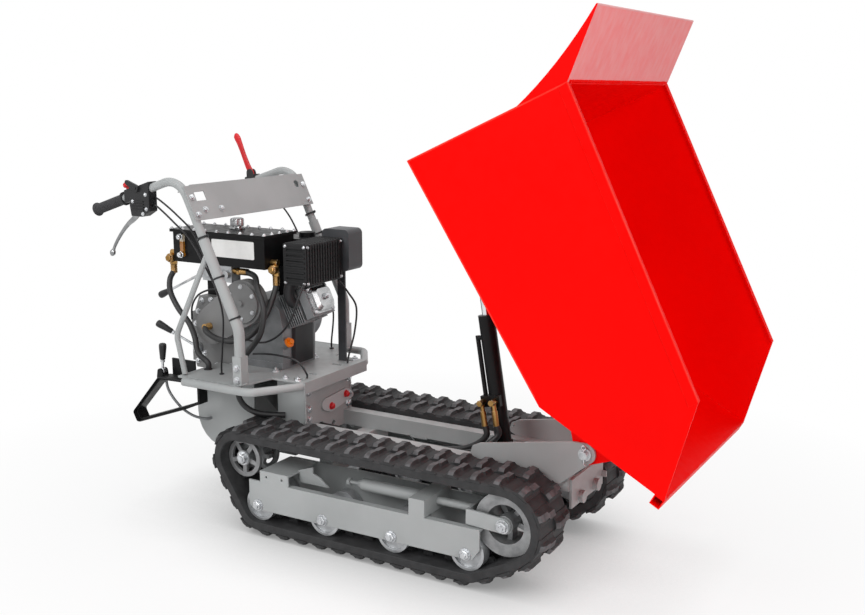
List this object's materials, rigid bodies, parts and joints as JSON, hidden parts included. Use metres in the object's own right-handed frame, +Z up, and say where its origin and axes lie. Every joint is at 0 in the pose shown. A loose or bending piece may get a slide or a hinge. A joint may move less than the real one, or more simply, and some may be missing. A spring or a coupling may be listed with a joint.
{
  "type": "tracked power carrier",
  "caption": "Walk-behind tracked dumper: rubber crawler tracks, small engine and oil tank under handlebars, and a sheet-metal skip tipped forward by a hydraulic ram.",
  "frame": {"origin": "On the ground, under the middle of the bounding box of the machine with its skip tipped", "axes": "+X forward to the tipping end, +Y to the operator's left, +Z up"},
  "size_m": [2.0613, 0.744, 1.5683],
  "materials": {
    "red_paint": "gloss",
    "grey_paint": "satin",
    "black_paint": "gloss",
    "track_rubber": "matte",
    "hose_rubber": "matte",
    "black_plastic": "satin",
    "brass": "satin",
    "chrome": "polished",
    "zinc_steel": "brushed",
    "cast_alloy": "cast",
    "cast_iron": "painted grey",
    "grey_plastic": "satin",
    "gauge_glass": "gloss",
    "orange_plastic": "gloss"
  },
  "bodies": {
    "chassis": {"cylinder_hoses": "hose_rubber", "right_track_belt": "track_rubber", "left_track_belt": "track_rubber", "right_track_frame": "grey_paint", "left_track_frame": "grey_paint", "roller_axles": "zinc_steel", "track_tensioners": "grey_paint", "chassis_frame": "grey_paint", "hinge_cheeks": "grey_paint", "hinge_pins": "zinc_steel", "pedestal": "grey_paint", "deck_plate": "grey_paint", "side_guards": "grey_paint", "rear_guards": "black_paint", "handle_frame": "grey_paint", "console": "grey_paint", "handle_grips": "hose_rubber", "lever_housings": "black_plastic", "oil_tank": "black_paint", "sight_gauge": "gauge_glass", "valve_block": "cast_alloy", "gearbox_case": "cast_iron", "belt_cover": "grey_paint", "engine_block": "cast_alloy", "valve_cover": "cast_alloy", "muffler": "black_paint", "air_cleaner": "grey_plastic", "fuel_tank": "black_paint", "hydraulic_hoses": "hose_rubber", "hose_fittings": "brass", "control_cables": "black_plastic"},
    "skip": {"skip_shell": "red_paint", "spill_guard": "red_paint", "skip_hinge_brackets": "red_paint", "lift_bracket": "red_paint"},
    "ram_barrel": {"cylinder_barrel": "black_paint", "cylinder_fittings": "brass"},
    "ram_rod": {"cylinder_rod": "chrome"},
    "right_sprocket": {"right_sprocket": "cast_iron"},
    "right_idler": {"right_idler": "cast_iron"},
    "right_roller_1": {"right_roller_1": "cast_iron"},
    "right_roller_2": {"right_roller_2": "cast_iron"},
    "right_roller_3": {"right_roller_3": "cast_iron"},
    "right_roller_4": {"right_roller_4": "cast_iron"},
    "left_sprocket": {"left_sprocket": "cast_iron"},
    "left_idler": {"left_idler": "cast_iron"},
    "left_roller_1": {"left_roller_1": "cast_iron"},
    "left_roller_2": {"left_roller_2": "cast_iron"},
    "left_roller_3": {"left_roller_3": "cast_iron"},
    "left_roller_4": {"left_roller_4": "cast_iron"},
    "brake_lever": {"brake_lever": "chrome"},
    "clutch_lever": {"clutch_lever": "red_paint"},
    "throttle_lever": {"throttle_lever": "black_plastic"},
    "stop_switch": {"stop_switch": "red_paint"},
    "filler_cap": {"filler_cap": "chrome"},
    "valve_lever": {"valve_lever": "black_plastic"},
    "gear_lever": {"gear_lever": "black_plastic"},
    "range_lever": {"range_lever": "black_plastic"},
    "starter_grip": {"starter_grip": "black_plastic"},
    "dipstick": {"dipstick": "orange_plastic"}
  },
  "joints": [
    {"name": "skip_tip", "type": "hinge", "parent": "chassis", "child": "skip", "pos_m": [0.654, 0, 0.384], "axis": [0, 1, 0], "range_deg": [-57.3, 0]},
    {"name": "ram_swing", "type": "hinge", "parent": "chassis", "child": "ram_barrel", "pos_m": [0.342, 0, 0.3], "axis": [0, 1, 0], "range_deg": [-72.3, 0.3], "deforming": ["cylinder_hoses"]},
    {"name": "ram_stroke", "type": "slide", "parent": "ram_barrel", "child": "ram_rod", "axis": [-0.1614, 0, 0.9869], "range_m": [-0.2715, 0.0005]},
    {"name": "right_sprocket_turn", "type": "hinge", "parent": "chassis", "child": "right_sprocket", "pos_m": [-0.4295, -0.24, 0.233], "axis": [0, 1, 0], "continuous": true},
    {"name": "right_idler_turn", "type": "hinge", "parent": "chassis", "child": "right_idler", "pos_m": [0.4895, -0.24, 0.2], "axis": [0, 1, 0], "continuous": true},
    {"name": "right_roller_1_turn", "type": "hinge", "parent": "chassis", "child": "right_roller_1", "pos_m": [-0.3555, -0.24, 0.099], "axis": [0, 1, 0], "continuous": true},
    {"name": "right_roller_2_turn", "type": "hinge", "parent": "chassis", "child": "right_roller_2", "pos_m": [-0.1105, -0.24, 0.099], "axis": [0, 1, 0], "continuous": true},
    {"name": "right_roller_3_turn", "type": "hinge", "parent": "chassis", "child": "right_roller_3", "pos_m": [0.1345, -0.24, 0.099], "axis": [0, 1, 0], "continuous": true},
    {"name": "right_roller_4_turn", "type": "hinge", "parent": "chassis", "child": "right_roller_4", "pos_m": [0.3795, -0.24, 0.099], "axis": [0, 1, 0], "continuous": true},
    {"name": "left_sprocket_turn", "type": "hinge", "parent": "chassis", "child": "left_sprocket", "pos_m": [-0.4295, 0.24, 0.233], "axis": [0, 1, 0], "continuous": true},
    {"name": "left_idler_turn", "type": "hinge", "parent": "chassis", "child": "left_idler", "pos_m": [0.4895, 0.24, 0.2], "axis": [0, 1, 0], "continuous": true},
    {"name": "left_roller_1_turn", "type": "hinge", "parent": "chassis", "child": "left_roller_1", "pos_m": [-0.3555, 0.24, 0.099], "axis": [0, 1, 0], "continuous": true},
    {"name": "left_roller_2_turn", "type": "hinge", "parent": "chassis", "child": "left_roller_2", "pos_m": [-0.1105, 0.24, 0.099], "axis": [0, 1, 0], "continuous": true},
    {"name": "left_roller_3_turn", "type": "hinge", "parent": "chassis", "child": "left_roller_3", "pos_m": [0.1345, 0.24, 0.099], "axis": [0, 1, 0], "continuous": true},
    {"name": "left_roller_4_turn", "type": "hinge", "parent": "chassis", "child": "left_roller_4", "pos_m": [0.3795, 0.24, 0.099], "axis": [0, 1, 0], "continuous": true},
    {"name": "brake_squeeze", "type": "hinge", "parent": "chassis", "child": "brake_lever", "pos_m": [-0.83, -0.285, 0.99418], "axis": [0, 1, 0], "range_deg": [0, 20], "stiffness_Nm_per_rad": 6, "springref_deg": -8.59},
    {"name": "clutch_press", "type": "hinge", "parent": "chassis", "child": "clutch_lever", "pos_m": [-0.84, 0.285, 1.07688], "axis": [0, 1, 0], "range_deg": [-75, 0]},
    {"name": "throttle_turn", "type": "hinge", "parent": "chassis", "child": "throttle_lever", "pos_m": [-0.822, -0.307, 1.06483], "axis": [0, 1, 0], "range_deg": [-30, 25]},
    {"name": "stop_press", "type": "slide", "parent": "chassis", "child": "stop_switch", "axis": [-0.314, 0, 0.9494], "range_m": [-0.003, 0], "stiffness_N_per_m": 400, "springref_m": 0.002},
    {"name": "cap_unscrew", "type": "hinge", "parent": "chassis", "child": "filler_cap", "pos_m": [-0.655, -0.02, 0.9153], "axis": [0, 0, 1], "range_deg": [0, 90]},
    {"name": "valve_shift", "type": "hinge", "parent": "chassis", "child": "valve_lever", "pos_m": [-0.748, -0.099, 0.768], "axis": [0, 1, 0], "range_deg": [-10, 10]},
    {"name": "gear_shift", "type": "hinge", "parent": "chassis", "child": "gear_lever", "pos_m": [-0.775, -0.105, 0.512], "axis": [0, 1, 0], "range_deg": [-10, 10]},
    {"name": "range_shift", "type": "hinge", "parent": "chassis", "child": "range_lever", "pos_m": [-0.815, -0.235, 0.452], "axis": [0, 1, 0], "range_deg": [-14, 14]},
    {"name": "starter_pull", "type": "slide", "parent": "chassis", "child": "starter_grip", "axis": [0, 1, 0], "range_m": [0, 0.5], "stiffness_N_per_m": 8, "springref_m": -0.5},
    {"name": "dipstick_draw", "type": "slide", "parent": "chassis", "child": "dipstick", "axis": [0.866, 0, 0.5], "range_m": [0, 0.08]}
  ],
  "couplings": [
    {"joint": "ram_swing", "follows": "skip_tip", "ratio": 1.2537},
    {"joint": "ram_stroke", "follows": "skip_tip", "m_per_rad": 0.2701},
    {"joint": "right_idler_turn", "follows": "right_sprocket_turn", "ratio": 0.69149},
    {"joint": "right_roller_1_turn", "follows": "right_sprocket_turn", "ratio": 1.2037},
    {"joint": "right_roller_2_turn", "follows": "right_sprocket_turn", "ratio": 1.2037},
    {"joint": "right_roller_3_turn", "follows": "right_sprocket_turn", "ratio": 1.2037},
    {"joint": "right_roller_4_turn", "follows": "right_sprocket_turn", "ratio": 1.2037},
    {"joint": "left_idler_turn", "follows": "left_sprocket_turn", "ratio": 0.69149},
    {"joint": "left_roller_1_turn", "follows": "left_sprocket_turn", "ratio": 1.2037},
    {"joint": "left_roller_2_turn", "follows": "left_sprocket_turn", "ratio": 1.2037},
    {"joint": "left_roller_3_turn", "follows": "left_sprocket_turn", "ratio": 1.2037},
    {"joint": "left_roller_4_turn", "follows": "left_sprocket_turn", "ratio": 1.2037}
  ]
}
